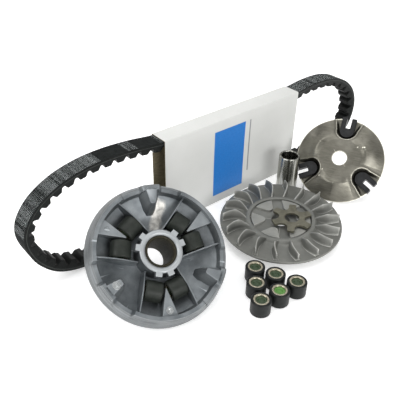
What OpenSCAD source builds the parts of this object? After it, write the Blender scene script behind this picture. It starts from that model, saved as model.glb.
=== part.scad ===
// Variable-drive (CVT) pulley kit laid out on a bench.
// Variator housing with six weights, drive belt in its card sleeve, fixed fan
// face, toothed star plate, boss sleeve, ramp plate with three slides and six
// spare weights.  Units are millimetres.  Z is up, X runs along the card sleeve.

/* [Card sleeve and belt] */
// Length of the card sleeve
sleeve_length = 162; // [120:1:220]
// Depth of the card sleeve
sleeve_depth = 18.8; // [15:0.1:30]
// Height of the card sleeve
sleeve_height = 87; // [60:1:110]
// Thickness of the card
card = 0.6; // [0.4:0.1:1.5]
// Width of the belt over its flat back
belt_width = 17.2; // [14:0.1:17.4]
// Total thickness of the belt over a cog
belt_thickness = 9.2; // [6:0.1:12]
// Thickness of the belt between two cogs
belt_web = 4.9; // [3:0.1:7]
// Number of cogs round the loop
cogs = 72; // [50:1:100]

/* [Weights] */
// Diameter of a weight
roller_d = 16; // [13:0.5:20]
// Length of a weight
roller_l = 13; // [10:0.5:15]
// Diameter of the metal ring in a weight
ring_d = 12; // [8:0.5:16]
// Diameter of the hole through the ring
ring_bore = 8.8; // [5:0.1:12]

/* [Variator housing] */
// Outside diameter of the belt face
housing_d = 109.2; // [80:0.2:130]
// Distance of a resting weight from the housing axis
weight_r = 28.7; // [24:0.1:34]
// Half the angle between two weights of a pair
pair_half = 18.2; // [14:0.1:24]
// Height of the rim over the weights
rim_z = 12.5; // [8:0.5:16]
// Bore of the pressed-in bush
bush_bore = 20.06; // [16:0.02:26]

/* [Fan face] */
// Outside diameter of the fan face
fan_d = 107.8; // [90:0.2:120]
// Number of fan blades
blades = 18; // [12:1:24]
// Greatest height of a blade above the web
blade_h = 9.5; // [5:0.5:14]

/* [Ramp plate] */
// Outside diameter of the ramp plate
plate_d = 84.2; // [60:0.2:100]
// Thickness of the ramp plate
plate_t = 2; // [1:0.1:4]
// Bore of the ramp plate
plate_bore = 14; // [10:0.5:20]

/* [Boss sleeve] */
// Outside diameter of the boss sleeve
boss_d = 20; // [16:0.1:26]
// Bore of the boss sleeve
boss_bore = 16; // [12:0.1:20]
// Length of the boss sleeve
boss_l = 41; // [25:0.5:50]

/* [Hidden] */
$fn = 96;
// layout origin: centre of the whole kit, on the bench
kit = [-64.8, 60.5, 0];
housing_at = [-53.7, -60.8, 35.15];
housing_turn = [39.3, 0, -11.1];
housing_spin = 18.6;
fan_at = [75.2, -68.7, 11.14];
fan_turn = [3.46, 0, -49.7];
plate_at = [170.7, -54.6, 32.1];
plate_turn = [47.6, 0, -62.2];
boss_at = [127.7, -27, 0];
star_at = [9.5, -1.0, 4.15];
spare_at = [[14.1, -99.2], [21.0, -115.1], [27.6, -131.8], [2.1, -112.9], [10.0, -130.0], [-8.0, -128.2]];
housing_r = housing_d / 2;
fan_r = fan_d / 2;
plate_r = plate_d / 2;
weight_z = 3.2;
belt_y = sleeve_depth / 2;
// anchor points of the belt loop, [x, z] on its flat back, clockwise from the sleeve's left end
loop = [[0, 86], [27, 86], [54, 86], [81, 86], [108, 86], [135, 86], [162, 86.2], [186, 88.6], [212, 87.6],
    [235, 80.6], [252, 68], [261, 53], [262.6, 38], [258, 23], [247, 10], [230, 2.2], [208, 0.4],
    [185, 0.6], [162, 1.0], [135, 1.1], [108, 1.1], [81, 1.1], [54, 1.1], [27, 1.1], [0, 1.0], [-29, 0.6],
    [-60, 0.5], [-88, 2.4], [-110, 11.5], [-125, 27.5], [-132.2, 44.5], [-132.6, 58], [-127, 69.5],
    [-115.5, 80], [-97, 88.2], [-74, 92], [-50, 91.8], [-25, 89.4]];
// how far the left loop swings to the front, 100 mm beyond the sleeve
loop_swing = 7;

// ---------- placing ----------
module in_housing() { translate(kit + housing_at) rotate(housing_turn) children(); }
module in_fan() { translate(kit + fan_at) rotate(fan_turn) children(); }
module in_plate() { translate(kit + plate_at) rotate(plate_turn) children(); }
function weight_angle(i) =
    housing_spin + 120 * floor((i - 1) / 2) + (i % 2 == 1 ? -pair_half : pair_half);
module in_weight(i) {
    in_housing() rotate([0, 0, weight_angle(i)]) translate([weight_r, 0, weight_z])
        rotate([90, 0, 0]) children();
}
module in_spare(i) {
    translate(kit + [spare_at[i - 1][0], spare_at[i - 1][1], roller_l / 2]) children();
}

// ---------- weights: nylon shell, metal ring, coloured core ----------
module weight_shell() {
    h = roller_l / 2;
    r = roller_d / 2;
    rotate_extrude() polygon([[ring_d / 2 + 0.02, -h + 0.3], [ring_d / 2 + 0.5, -h], [r - 0.7, -h],
        [r, -h + 0.7], [r, h - 0.7], [r - 0.7, h], [ring_d / 2 + 0.5, h], [ring_d / 2 + 0.02, h - 0.3]]);
}
module weight_ring() {
    h = roller_l / 2 - 0.4;
    rotate_extrude() polygon([[ring_bore / 2 + 0.4, -h], [ring_d / 2, -h], [ring_d / 2, h],
        [ring_bore / 2 + 0.4, h], [ring_bore / 2, h - 0.4], [ring_bore / 2, -h + 0.4]]);
}
module weight_core() {
    h = roller_l / 2 - 1.6;
    difference() {
        cylinder(r = ring_bore / 2 - 0.02, h = 2 * h, center = true);
        translate([0, 0, h - 1.2]) cylinder(r = 2.4, h = 3);
        translate([0, 0, -h - 1.8]) cylinder(r = 2.4, h = 3);
    }
}
module fitted_shell(i) { color([0.17, 0.18, 0.18]) in_weight(i) weight_shell(); }
module fitted_ring(i) { color([0.78, 0.74, 0.64]) in_weight(i) weight_ring(); }
module fitted_core(i) { color([0.2, 0.28, 0.16]) in_weight(i) weight_core(); }
module spare_shell(i) { color([0.17, 0.18, 0.18]) in_spare(i) weight_shell(); }
module spare_ring(i) { color([0.78, 0.74, 0.64]) in_spare(i) weight_ring(); }
module spare_core(i) { color([0.2, 0.28, 0.16]) in_spare(i) weight_core(); }

// ---------- drive belt ----------
function wrap(i, n) = (i % n + n) % n;
// smooth curve through the anchor points
function spline(p, i, t) =
    let (n = len(p), a = p[wrap(i - 1, n)], b = p[wrap(i, n)], c = p[wrap(i + 1, n)], d = p[wrap(i + 2, n)])
    0.5 * (2 * b + (c - a) * t + (2 * a - 5 * b + 4 * c - d) * t * t + (3 * b - a - 3 * c + d) * t * t * t);
fine = [for (i = [0:len(loop) - 1]) for (k = [0:5]) spline(loop, i, k / 6)];
run = [for (i = 0, s = 0; i <= len(fine); s = s + norm(fine[wrap(i + 1, len(fine))] - fine[wrap(i, len(fine))]),
    i = i + 1) s];
loop_length = run[len(fine)];
table_x = [for (i = [0:len(fine)]) [run[i], fine[wrap(i, len(fine))][0]]];
table_z = [for (i = [0:len(fine)]) [run[i], fine[wrap(i, len(fine))][1]]];
function on_loop(s) =
    let (q = s - floor(s / loop_length) * loop_length) [lookup(q, table_x), lookup(q, table_z)];
// unit normal pointing to the inside of the loop
function inward(s) = let (t = on_loop(s + 1.5) - on_loop(s - 1.5), u = t / norm(t)) [u[1], -u[0]];
// one cog has a root, a flank up, a tip and a flank down
steps = [0, 0.26, 0.44, 0.82];
function depth(k) = (k == 0 || k == 1) ? belt_web : belt_thickness;
stations = [for (c = [0:cogs - 1]) for (k = [0:3]) [(c + steps[k]) * loop_length / cogs, depth(k)]];
belt_flank = tan(14);
function swing(x) = x > 0 ? 0 : x > -60 ? -loop_swing * x * x / 8400 : -loop_swing * (-x - 30) / 70;
belt_points = [for (q = stations) let (p = on_loop(q[0]), n = inward(q[0]), h = q[1], w = belt_width / 2)
    for (v = [[w, 0], [w - h * belt_flank, h], [-w + h * belt_flank, h], [-w, 0]])
        [p[0] + n[0] * v[1], belt_y + swing(p[0]) + v[0], p[1] + n[1] * v[1]]];
belt_faces = let (m = len(stations)) [for (i = [0:m - 1]) for (k = [0:3])
    let (a = 4 * i + k, b = 4 * i + (k + 1) % 4, c = 4 * ((i + 1) % m) + (k + 1) % 4, d = 4 * ((i + 1) % m) + k)
        for (f = [[a, b, c], [a, c, d]]) f];
module drive_belt() {
    color([0.15, 0.16, 0.16]) translate(kit)
        polyhedron(points = belt_points, faces = belt_faces, convexity = 12);
}

// ---------- card sleeve ----------
module belt_sleeve() {
    color([0.9, 0.9, 0.88]) translate(kit) difference() {
        cube([sleeve_length, sleeve_depth, sleeve_height]);
        translate([-1, card, card])
            cube([sleeve_length + 2, sleeve_depth - 2 * card, sleeve_height - 2 * card]);
    }
}

// ---------- variator housing: one casting, held as a face with its hub, ribs, pillars and guides ----------
cast_grey = [0.62, 0.65, 0.67];
hub_r = 16.5;
hub_top = 13;
nose_z = -22;
bush_seat = 12.02;
// level floor round the hub, then a slope up to the rim
floor_z = -5.3;
slope_start = 30.3;
slope_end = 46.4;
slope_top = 3;
// gap that keeps neighbouring solids of the casting from overlapping
joint_gap = 0.02;
rib_t = 1.7;
rib_y = 7.8;
wall_top = 9;
guide_top = 13.2;
module in_casting(turn) { color(cast_grey) in_housing() rotate([0, 0, housing_spin + turn]) children(); }
// the rim is cut down to this height beside each guide
low_rim_z = 8.8;
module low_rim(a, b) {
    translate([0, 0, low_rim_z]) linear_extrude(height = 10)
        polygon([[44 * cos(a), 44 * sin(a)], [58 * cos(a), 58 * sin(a)], [58 * cos(b), 58 * sin(b)],
            [44 * cos(b), 44 * sin(b)]]);
}
module variator_housing() {
    in_casting(0) difference() {
        rotate_extrude() polygon([[hub_r + joint_gap, -10.4], [housing_r - 0.6, -1.2], [housing_r, -0.6],
            [housing_r, 0.6], [53.9, 3], [52.6, 7], [50.6, 11.3], [50, rim_z], [47.2, rim_z], [46.9, 6],
            [slope_end, slope_top], [slope_start, floor_z], [hub_r + joint_gap, floor_z]]);
        for (k = [0, 120, 240]) {
            rotate([0, 0, k]) low_rim(33, 50.5);
            rotate([0, 0, k]) low_rim(69.5, 87);
        }
    }
}
module housing_hub() {
    in_casting(0) {
        rotate_extrude() polygon([[bush_seat, nose_z], [hub_r - 0.8, nose_z], [hub_r, nose_z + 0.8],
            [hub_r, hub_top - 0.6], [hub_r - 0.6, hub_top], [12.8, hub_top], [bush_seat, hub_top - 0.8]]);
        for (k = [0, 120, 240]) for (side = [-1, 1])
            rotate([0, 0, k + side * 15]) translate([14, -2.6, hub_top - 5]) cube([5.4, 5.2, 5]);
    }
}
// thin wall on the outer side of a weight's pocket, lower towards the hub
module housing_rib(i) {
    side = i % 2 == 1 ? -1 : 1;
    in_casting(120 * floor((i - 1) / 2) + side * pair_half) translate([0, side * rib_y + rib_t / 2, 0])
        rotate([90, 0, 0]) linear_extrude(height = rib_t) polygon([[hub_r + 0.1, floor_z + joint_gap],
            [29, floor_z + joint_gap], [45.5, slope_top], [45.9, wall_top], [28, wall_top], [hub_r + 0.1, 5]]);
}
// everything between the sloping floor and a level top
module above_floor(top) {
    translate([0, 9, 0]) rotate([90, 0, 0]) linear_extrude(height = 18) polygon([[26, floor_z + joint_gap],
        [30.2, floor_z + joint_gap], [46, slope_top + 0.05], [47, slope_top + 0.6], [47, top], [26, top]]);
}
// wedge between the two weights of a pair
module housing_pillar(i) {
    in_casting(120 * (i - 1)) intersection() {
        translate([0, 0, floor_z]) linear_extrude(height = 20) polygon([[27.4, 0], [45.8, 5.6], [45.8, -5.6]]);
        above_floor(wall_top);
    }
}
// tapered block that a slide of the ramp plate runs on
module housing_guide(i) {
    slab = 0.1;
    in_casting(120 * (i - 1) + 60) intersection() {
        hull() {
            translate([0, 0, floor_z]) linear_extrude(height = slab)
                polygon([[31.9, -2], [37, -6], [45.6, -8.6], [45.6, 8.6], [37, 6], [31.9, 2]]);
            translate([0, 0, guide_top - slab]) linear_extrude(height = slab)
                polygon([[37.2, -2.1], [46.4, -4], [46.4, 4], [37.2, 2.1]]);
        }
        above_floor(guide_top + 1);
    }
}
module variator_bush() {
    color([0.36, 0.33, 0.26]) in_housing() rotate_extrude() polygon([[bush_bore / 2 + 0.5, nose_z + 0.4],
        [11.6, nose_z + 0.4], [12, nose_z + 0.8], [12, hub_top - 1.6], [11.6, hub_top - 1.2],
        [bush_bore / 2 + 0.5, hub_top - 1.2], [bush_bore / 2, hub_top - 1.7], [bush_bore / 2, nose_z + 0.9]]);
}

// ---------- fan face ----------
land_top = 4;
pad_top = 3.6;
blade_foot = 1.2;
module fan_disc() {
    rotate_extrude() polygon([[8, -9.4], [8.5, -9.9], [20.5, -9.9], [21, -9.4], [fan_r - 0.5, -1.2],
        [fan_r, -0.6], [fan_r, 0.7], [fan_r - 0.6, blade_foot], [33, 1.6], [31.4, 3.6], [30.8, land_top],
        [27.6, land_top], [27.6, blade_foot], [8, blade_foot]]);
}
module fan_blades() {
    intersection() {
        rotate_extrude() polygon([[29.5, 0.6], [51.8, 0.6], [52, blade_foot], [51.6, 8.2], [46, 10],
            [40.5, blade_foot + blade_h], [39, 1 + blade_h], [30, land_top]]);
        for (k = [0:blades - 1]) rotate([0, 0, k * 360 / blades + 9.4]) difference() {
            translate([40.6, 17.3, 0]) cylinder(r = 20.9, h = 14);
            translate([40.6, 17.3, -1]) cylinder(r = 19.5, h = 16);
            translate([20, 0.6, -1]) cube([42, 40, 16]);
        }
    }
}
// raised pads round the bore, with star-shaped channels between them
module fan_pads() {
    for (k = [0:5]) rotate([0, 0, k * 60 + 12]) translate([0, 0, 1])
        linear_extrude(height = pad_top - 1) intersection() {
            circle(r = 26.6);
            polygon([[13.4, 0], [17, -4.6], [27, -11.4], [30, 0], [27, 11.4], [17, 4.6]]);
        }
}
module fan_face() {
    color([0.6, 0.6, 0.57]) in_fan() difference() {
        union() {
            fan_disc();
            fan_blades();
            fan_pads();
        }
        translate([0, 0, -12]) cylinder(r = 8, h = 20);
    }
}

// ---------- star plate: six-lobed starter plate lying on the fan face ----------
star_t = 2.4;
module star_plate() {
    color([0.46, 0.45, 0.39]) in_fan() translate(star_at) linear_extrude(height = star_t) difference() {
        union() {
            circle(r = 12.6);
            for (k = [0:5]) rotate([0, 0, k * 60 + 30]) {
                translate([8, -3]) square([8.6, 6]);
                translate([14.6, -4.4]) square([3.6, 8.8]);
            }
        }
        circle(r = 6.4);
    }
}

// ---------- boss sleeve ----------
module boss_sleeve() {
    r = boss_d / 2;
    b = boss_bore / 2;
    color([0.58, 0.58, 0.56]) translate(kit + boss_at) rotate_extrude() polygon([[b + 0.6, 0], [r - 0.6, 0],
        [r, 0.6], [r, boss_l - 0.6], [r - 0.6, boss_l], [b + 0.6, boss_l], [b, boss_l - 0.6], [b, 0.6]]);
}

// ---------- ramp plate and its slides ----------
module plate_blank() {
    rotate_extrude() polygon([[plate_bore / 2, 10 - plate_t], [19.4, 10 - plate_t], [24.4, 8.2 - plate_t],
        [plate_r - 0.3, 0.2 - plate_t], [plate_r, 0.6 - plate_t], [plate_r, 0.2], [24.6, 8.3], [19.6, 10],
        [plate_bore / 2, 10]]);
}
// a slide is U-shaped: a half circle towards the bore, straight sides and an open slot for its guide
slide_r = 7;
slide_x = 29;
slide_slot = 4.6;
slide_gap = 0.15;
module in_slot(k) { in_plate() rotate([0, 0, 90 + 120 * k]) translate([slide_x, 0, 0]) children(); }
module u_shape(r, length) {
    circle(r = r);
    translate([0, -r]) square([length, 2 * r]);
}
module ramp_plate() {
    color([0.5, 0.49, 0.44]) difference() {
        in_plate() plate_blank();
        for (k = [0:2]) in_slot(k) translate([0, 0, -6])
            linear_extrude(height = 20) u_shape(slide_r + slide_gap, 20);
    }
}
module ramp_slide(k) {
    color([0.12, 0.13, 0.13]) in_slot(k) translate([0, 0, -2.6]) linear_extrude(height = 8.4) difference() {
        u_shape(slide_r, plate_r - slide_x - 0.3);
        translate([2.5, -slide_slot / 2]) square([20, slide_slot]);
    }
}
module ramp_slide_1() { ramp_slide(0); }
module ramp_slide_2() { ramp_slide(1); }
module ramp_slide_3() { ramp_slide(2); }

drive_belt();
belt_sleeve();
variator_housing();
housing_hub();
housing_rib(1);  // housing_rib_1
housing_rib(2);  // housing_rib_2
housing_rib(3);  // housing_rib_3
housing_rib(4);  // housing_rib_4
housing_rib(5);  // housing_rib_5
housing_rib(6);  // housing_rib_6
housing_pillar(1);  // housing_pillar_1
housing_pillar(2);  // housing_pillar_2
housing_pillar(3);  // housing_pillar_3
housing_guide(1);  // housing_guide_1
housing_guide(2);  // housing_guide_2
housing_guide(3);  // housing_guide_3
variator_bush();
fan_face();
star_plate();
boss_sleeve();
ramp_plate();
ramp_slide_1();
ramp_slide_2();
ramp_slide_3();
fitted_shell(1);  // weight_shell_1
fitted_shell(2);  // weight_shell_2
fitted_shell(3);  // weight_shell_3
fitted_shell(4);  // weight_shell_4
fitted_shell(5);  // weight_shell_5
fitted_shell(6);  // weight_shell_6
fitted_ring(1);  // weight_ring_1
fitted_ring(2);  // weight_ring_2
fitted_ring(3);  // weight_ring_3
fitted_ring(4);  // weight_ring_4
fitted_ring(5);  // weight_ring_5
fitted_ring(6);  // weight_ring_6
fitted_core(1);  // weight_core_1
fitted_core(2);  // weight_core_2
fitted_core(3);  // weight_core_3
fitted_core(4);  // weight_core_4
fitted_core(5);  // weight_core_5
fitted_core(6);  // weight_core_6
spare_shell(1);  // spare_shell_1
spare_shell(2);  // spare_shell_2
spare_shell(3);  // spare_shell_3
spare_shell(4);  // spare_shell_4
spare_shell(5);  // spare_shell_5
spare_shell(6);  // spare_shell_6
spare_ring(1);  // spare_ring_1
spare_ring(2);  // spare_ring_2
spare_ring(3);  // spare_ring_3
spare_ring(4);  // spare_ring_4
spare_ring(5);  // spare_ring_5
spare_ring(6);  // spare_ring_6
spare_core(1);  // spare_core_1
spare_core(2);  // spare_core_2
spare_core(3);  // spare_core_3
spare_core(4);  // spare_core_4
spare_core(5);  // spare_core_5
spare_core(6);  // spare_core_6
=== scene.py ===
"""Looks of the variable-drive pulley kit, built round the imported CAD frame."""

import math

import bmesh
import bpy
from mathutils import Matrix, Vector


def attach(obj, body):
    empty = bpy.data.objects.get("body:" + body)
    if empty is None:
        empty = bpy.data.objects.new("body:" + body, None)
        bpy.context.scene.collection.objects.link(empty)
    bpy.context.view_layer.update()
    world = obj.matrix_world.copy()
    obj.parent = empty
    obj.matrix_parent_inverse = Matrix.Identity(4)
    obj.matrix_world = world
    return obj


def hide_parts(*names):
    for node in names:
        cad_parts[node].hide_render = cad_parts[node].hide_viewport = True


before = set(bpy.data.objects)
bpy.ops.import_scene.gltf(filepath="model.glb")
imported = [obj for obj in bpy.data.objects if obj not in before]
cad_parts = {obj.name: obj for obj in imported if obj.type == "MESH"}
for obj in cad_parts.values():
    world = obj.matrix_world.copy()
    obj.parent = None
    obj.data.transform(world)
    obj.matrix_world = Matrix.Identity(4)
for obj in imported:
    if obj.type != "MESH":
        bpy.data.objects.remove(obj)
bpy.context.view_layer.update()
MM = 0.001

# ---------------------------------------------------------------- places
# the same places and turns as in the solid model, in millimetres and degrees
KIT = Vector((-64.8, 60.5, 0.0))
HOUSING_AT, HOUSING_TURN, HOUSING_SPIN = Vector((-53.7, -60.8, 35.15)), (39.3, -11.1), 18.6
FAN_AT, FAN_TURN = Vector((75.2, -68.7, 11.14)), (3.46, -49.7)
PLATE_AT, PLATE_TURN = Vector((170.7, -54.6, 32.1)), (47.6, -62.2)
BOSS_AT = Vector((127.7, -27.0, 0.0))
STAR_AT = Vector((9.5, -1.0, 4.15))
CAMERA_AT = Vector((-235.255, -323.5, 308.3))
CAMERA_AZIMUTH, CAMERA_DOWN, CAMERA_ROLL, CAMERA_LENS = -40.28, 34.95, 1.15, 49.83
PAIR_HALF, WEIGHT_R, WEIGHT_Z = 18.2, 28.7, 3.2
SPARES = [(14.1, -99.2), (21.0, -115.1), (27.6, -131.8)]
SPARES += [(2.1, -112.9), (10.0, -130.0), (-8.0, -128.2)]


def place(at, turn=(0, 0), spin=0.0):
    """Rigid matrix of a piece's own axes: spin about its axis, tilt about X, then azimuth about Z."""
    tilt, azimuth = (math.radians(a) for a in turn)
    return (
        Matrix.Translation((KIT + at) * MM)
        @ Matrix.Rotation(azimuth, 4, "Z")
        @ Matrix.Rotation(tilt, 4, "X")
        @ Matrix.Rotation(math.radians(spin), 4, "Z")
    )


# ---------------------------------------------------------------- camera
def add_camera():
    data = bpy.data.cameras.new("camera")
    data.sensor_width = 36.0
    data.lens = CAMERA_LENS
    data.clip_start, data.clip_end = 0.01, 20.0
    camera = bpy.data.objects.new("camera", data)
    bpy.context.scene.collection.objects.link(camera)
    camera.matrix_world = (
        Matrix.Translation((KIT + CAMERA_AT) * MM)
        @ Matrix.Rotation(math.radians(CAMERA_AZIMUTH), 4, "Z")
        @ Matrix.Rotation(math.radians(90 - CAMERA_DOWN), 4, "X")
        @ Matrix.Rotation(math.radians(CAMERA_ROLL), 4, "Z")
    )
    bpy.context.scene.camera = camera


add_camera()


# ---------------------------------------------------------------- mesh helpers
def piece(name, points, faces, matrix=None, closed=True):
    """A mesh object from points in millimetres in its own axes; a closed one gets outward normals."""
    mesh = bpy.data.meshes.new(name)
    mesh.from_pydata([Vector(p) * MM for p in points], [], faces)
    mesh.validate()
    if closed:
        work = bmesh.new()
        work.from_mesh(mesh)
        bmesh.ops.recalc_face_normals(work, faces=work.faces)
        work.to_mesh(mesh)
        work.free()
    mesh.polygons.foreach_set("use_smooth", [True] * len(mesh.polygons))
    obj = bpy.data.objects.new(name, mesh)
    bpy.context.scene.collection.objects.link(obj)
    if matrix is not None:
        obj.matrix_world = matrix
    return obj


def soften(obj, width=0.3, segments=2, angle=28):
    """Rounded edges and clean shading."""
    bevel = obj.modifiers.new("bevel", "BEVEL")
    bevel.width = width * MM
    bevel.segments = segments
    bevel.limit_method = "ANGLE"
    bevel.angle_limit = math.radians(angle)
    bevel.miter_outer = "MITER_ARC"
    weighted = obj.modifiers.new("normals", "WEIGHTED_NORMAL")
    weighted.keep_sharp = True
    return obj


def merge(parts):
    """Several (points, faces) lists as one."""
    points, faces = [], []
    for more_points, more_faces in parts:
        start = len(points)
        points += more_points
        faces += [tuple(start + i for i in f) for f in more_faces]
    return points, faces


def lathe(profile, count=160, shape=None):
    """Closed profile of (r, z) turned about Z; shape(angle, r, z) may move its points."""
    points, faces = [], []
    n = len(profile)
    for k in range(count):
        a = 2 * math.pi * k / count
        for r, z in profile:
            if shape:
                r, z = shape(math.degrees(a), r, z)
            points.append((r * math.cos(a), r * math.sin(a), z))
    for k in range(count):
        for i in range(n):
            j = (i + 1) % n
            m = (k + 1) % count
            faces.append((k * n + i, m * n + i, m * n + j, k * n + j))
    return points, faces


def rounded(profile, radius=0.4, steps=3, sharp=20):
    """The same closed profile with its corners rounded off."""
    out = []
    n = len(profile)
    for i in range(n):
        before, here, after = (Vector(profile[(i + k) % n]) for k in (-1, 0, 1))
        a, b = before - here, after - here
        if a.length < 1e-6 or b.length < 1e-6:
            continue
        turn = 180 - math.degrees(a.angle(b))
        if turn < sharp:
            out.append(tuple(here))
            continue
        cut = min(radius, 0.45 * a.length, 0.45 * b.length)
        p, q = here + a.normalized() * cut, here + b.normalized() * cut
        for s in range(steps + 1):
            t = s / steps
            out.append(tuple(p * (1 - t) ** 2 + here * 2 * t * (1 - t) + q * t**2))
    return out


def prism(outline, low, high, inset=0.0):
    """Solid between two heights over an outline; inset draws the top edge in."""
    n = len(outline)
    centre = sum((Vector(p) for p in outline), Vector((0, 0))) / n
    points = [(x, y, low) for x, y in outline]
    for x, y in outline:
        v = Vector((x, y)) - centre
        scale = max(0.05, 1 - inset / max(v.length, 1e-6))
        px, py = centre + v * scale
        points.append((px, py, high))
    faces = [tuple(reversed(range(n))), tuple(range(n, 2 * n))]
    faces += [(i, (i + 1) % n, n + (i + 1) % n, n + i) for i in range(n)]
    return points, faces


def turned(part, degrees):
    """(points, faces) turned about Z."""
    c, s = math.cos(math.radians(degrees)), math.sin(math.radians(degrees))
    points, faces = part
    return [(x * c - y * s, x * s + y * c, z) for x, y, z in points], faces


def smooth_step(t):
    t = min(1.0, max(0.0, t))
    return t * t * (3 - 2 * t)


# ---------------------------------------------------------------- material helpers
NOISE_ROUGHNESS = 0.55


class Shader:
    """A node material with a few short cuts."""

    def __init__(self, name, colour, rough, metal=0.0):
        self.mat = bpy.data.materials.new(name)
        self.mat.use_nodes = True
        self.nodes = self.mat.node_tree.nodes
        self.links = self.mat.node_tree.links
        self.bsdf = self.nodes["Principled BSDF"]
        self.bsdf.inputs["Base Color"].default_value = (*colour, 1)
        self.bsdf.inputs["Roughness"].default_value = rough
        self.bsdf.inputs["Metallic"].default_value = metal
        self.place = self.nodes.new("ShaderNodeTexCoord").outputs["Object"]
        self.height = None

    def noise(self, scale, detail, stretch=None, source=None):
        node = self.nodes.new("ShaderNodeTexNoise")
        node.inputs["Scale"].default_value = scale
        node.inputs["Detail"].default_value = detail
        node.inputs["Roughness"].default_value = NOISE_ROUGHNESS
        source = source or self.place
        if stretch:
            mapping = self.nodes.new("ShaderNodeMapping")
            mapping.inputs["Scale"].default_value = stretch
            self.links.new(source, mapping.inputs["Vector"])
            source = mapping.outputs["Vector"]
        self.links.new(source, node.inputs["Vector"])
        return node.outputs["Fac"]

    def ramp(self, fac, *stops):
        """Colours between two stops of (position, colour)."""
        node = self.nodes.new("ShaderNodeValToRGB")
        for element, (at, colour) in zip(node.color_ramp.elements, stops):
            element.position = at
            element.color = (*colour, 1)
        self.links.new(fac, node.inputs["Fac"])
        return node.outputs["Color"]

    def math(self, operation, a, b=0.0, c=None, clamp=False):
        node = self.nodes.new("ShaderNodeMath")
        node.operation = operation
        node.use_clamp = clamp
        for i, v in enumerate((a, b, c)):
            if v is None:
                continue
            if isinstance(v, (int, float)):
                node.inputs[i].default_value = v
            else:
                self.links.new(v, node.inputs[i])
        return node.outputs[0]

    def mix(self, fac, a, b):
        node = self.nodes.new("ShaderNodeMix")
        node.data_type = "RGBA"
        for socket, v in ((node.inputs["Factor"], fac), (node.inputs[6], a), (node.inputs[7], b)):
            if isinstance(v, tuple):
                socket.default_value = (*v, 1)
            else:
                self.links.new(v, socket)
        return node.outputs[2]

    def axes(self, source=None):
        node = self.nodes.new("ShaderNodeSeparateXYZ")
        self.links.new(source or self.place, node.inputs[0])
        return node.outputs

    def radius(self):
        """Distance from the piece's own Z axis."""
        x, y, _ = self.axes()
        squares = self.math("ADD", self.math("MULTIPLY", x, x), self.math("MULTIPLY", y, y))
        return self.math("SQRT", squares)

    def band(self, value, low, high, soft=0.0002):
        """1 between low and high."""
        up = self.math("DIVIDE", self.math("SUBTRACT", value, low - soft), 2 * soft, clamp=True)
        down = self.math("DIVIDE", self.math("SUBTRACT", high + soft, value), 2 * soft, clamp=True)
        return self.math("MULTIPLY", up, down)

    def pointed(self, low, high):
        """1 on convex edges, or on hollow ones where low is above high."""
        geometry = self.nodes.new("ShaderNodeNewGeometry")
        node = self.nodes.new("ShaderNodeMapRange")
        node.inputs["From Min"].default_value = low
        node.inputs["From Max"].default_value = high
        self.links.new(geometry.outputs["Pointiness"], node.inputs["Value"])
        return node.outputs[0]

    def colour(self, socket):
        self.links.new(socket, self.bsdf.inputs["Base Color"])

    def roughness(self, socket):
        self.links.new(socket, self.bsdf.inputs["Roughness"])

    def bump(self, height, strength, distance):
        """Adds another layer of relief."""
        node = self.nodes.new("ShaderNodeBump")
        node.inputs["Strength"].default_value = strength
        node.inputs["Distance"].default_value = distance
        self.links.new(height, node.inputs["Height"])
        if self.height is not None:
            self.links.new(self.height, node.inputs["Normal"])
        self.height = node.outputs["Normal"]
        self.links.new(self.height, self.bsdf.inputs["Normal"])


def grey(v):
    return (v, v, v)


WALL_FROM_R = 50.2


def cast_aluminium():
    """Grey die casting with a turned outer wall: painted highlights on the convex edges, painted shade in
    the hollow edges, and one brighter patch on the floor.
    """
    s = Shader("cast_aluminium", (0.27, 0.29, 0.3), 0.42, 0.8)
    cloud = s.noise(70, 5)
    grain = s.noise(2600, 2)
    x, y, z = s.axes()
    radius = s.radius()
    base = s.ramp(cloud, (0.32, (0.12, 0.134, 0.143)), (0.7, (0.25, 0.268, 0.278)))
    rings = s.nodes.new("ShaderNodeCombineXYZ")
    s.links.new(radius, rings.inputs[0])
    s.links.new(z, rings.inputs[1])
    s.links.new(s.math("MULTIPLY", x, 0.04), rings.inputs[2])
    streak = s.noise(2200, 4, source=rings.outputs[0])
    wall = s.math("GREATER_THAN", radius, WALL_FROM_R * MM)
    turned_wall = s.ramp(streak, (0.38, (0.1, 0.108, 0.112)), (0.62, (0.3, 0.312, 0.315)))
    base = s.mix(s.math("MULTIPLY", wall, 0.75), base, turned_wall)
    # Convex edges lightened: a painted highlight.
    base = s.mix(s.pointed(0.53, 0.62), base, (0.46, 0.49, 0.51))
    # Hollow edges and creases darkened: painted shade.
    base = s.mix(s.pointed(0.49, 0.41), base, (0.05, 0.056, 0.062))
    # Brighter, cloudy patch on the floor, low in the housing.
    along = s.math("ADD", s.math("MULTIPLY", x, 0.76), s.math("MULTIPLY", y, 0.65))
    across = s.math("SUBTRACT", s.math("MULTIPLY", y, 0.76), s.math("MULTIPLY", x, 0.65))
    ragged = s.math("MULTIPLY_ADD", s.noise(260, 4), 0.004, -0.002)
    patch = s.band(s.math("ADD", along, ragged), 0.0185, 0.0425, 0.0016)
    patch = s.math("MULTIPLY", patch, s.band(s.math("ADD", across, ragged), 0.001, 0.0088, 0.0012))
    patch = s.math("MULTIPLY", patch, s.math("LESS_THAN", z, 0.003))
    bright_patch = s.ramp(s.noise(190, 4), (0.35, (0.26, 0.255, 0.24)), (0.65, (0.62, 0.605, 0.57)))
    hub_face = s.math("MULTIPLY", s.math("GREATER_THAN", z, 0.0119), s.math("LESS_THAN", radius, 0.0205))
    base = s.mix(s.math("MULTIPLY", hub_face, 0.8), base, (0.44, 0.46, 0.47))
    s.colour(s.mix(patch, base, bright_patch))
    s.roughness(s.ramp(grain, (0.3, grey(0.42)), (0.75, grey(0.6))))
    s.bump(grain, 0.25, 0.00012)
    s.bump(s.noise(420, 3), 0.25, 0.0003)
    s.bump(s.math("MULTIPLY", streak, wall), 0.25, 0.0002)
    return s.mat


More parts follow.
